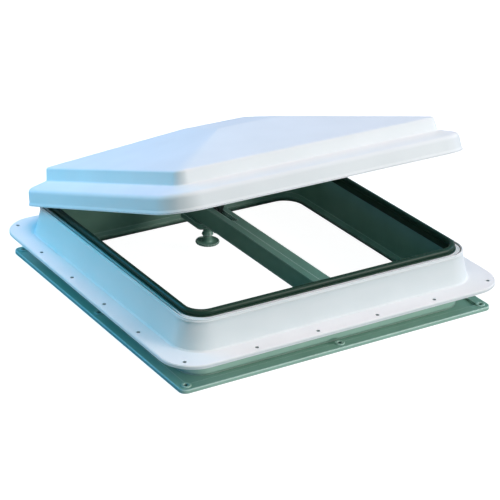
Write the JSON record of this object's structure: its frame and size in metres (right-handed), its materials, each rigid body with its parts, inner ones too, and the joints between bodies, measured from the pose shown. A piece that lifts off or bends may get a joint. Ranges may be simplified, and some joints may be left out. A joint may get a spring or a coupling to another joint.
{
  "type": "roof hatch",
  "caption": "Square roof hatch: tilting pyramid lid on a sealed collar and flange, inner garnish ring, and a crossbar whose knob turns a worm that swings the lid's lift arm",
  "frame": {"origin": "Centre of the opening, on the plane of the roof skin under the flange.", "axes": "+X runs along the front edge, +Y points to the hinge, +Z points out of the roof."},
  "size_m": [0.424, 0.424, 0.2126],
  "materials": {
    "white_plastic": "smooth satin, moulded",
    "green_plastic": "smooth satin, moulded",
    "seal_rubber": "matt extruded rubber",
    "natural_nylon": "natural nylon",
    "bronze": "sintered bronze",
    "cast_zinc": "bare zinc casting",
    "plated_steel": "bright zinc plate",
    "spring_steel": "oiled spring steel",
    "rivet_aluminium": "plain aluminium"
  },
  "bodies": {
    "base": {"base_frame": "white_plastic", "collar_seal": "seal_rubber", "garnish_ring": "green_plastic", "crossbar": "green_plastic", "crossbar_screws": "plated_steel", "gear_housing": "green_plastic", "operator_base": "green_plastic", "operator_screws": "plated_steel", "lower_bush": "bronze", "upper_bush": "bronze", "arm_pin": "plated_steel", "hinge_pins": "plated_steel", "hinge_clips": "spring_steel"},
    "lid": {"lid_shell": "white_plastic", "hinge_leaves": "plated_steel", "hinge_rivets": "rivet_aluminium", "slide_rail": "plated_steel", "rail_screws": "plated_steel"},
    "arm": {"lift_arm": "cast_zinc"},
    "shoe": {"slide_shoe": "natural_nylon", "shoe_pin": "plated_steel"},
    "drive": {"drive_shaft": "plated_steel", "shaft_clip": "spring_steel", "knob": "green_plastic", "knob_screw": "plated_steel"}
  },
  "joints": [
    {"name": "lid_hinge", "type": "hinge", "parent": "base", "child": "lid", "pos_m": [0, 0.204, 0.01], "axis": [-1, 0, 0], "range_deg": [-19.1, 25.9]},
    {"name": "arm_pivot", "type": "hinge", "parent": "base", "child": "arm", "pos_m": [0, 0.071, 0.023], "axis": [-1, 0, 0], "range_deg": [-38.2, 51.8]},
    {"name": "shoe_pivot", "type": "hinge", "parent": "arm", "child": "shoe", "pos_m": [0, 0.00141, 0.13708], "axis": [-1, 0, 0], "range_deg": [-25.9, 19.1]},
    {"name": "knob_turn", "type": "hinge", "parent": "base", "child": "drive", "pos_m": [0, 0.088, 0], "axis": [0, 0, 1], "range_deg": [-916.8, 1243.2]}
  ],
  "couplings": [
    {"joint": "arm_pivot", "follows": "lid_hinge", "ratio": 2},
    {"joint": "shoe_pivot", "follows": "lid_hinge", "ratio": -1},
    {"joint": "knob_turn", "follows": "lid_hinge", "ratio": 48}
  ]
}
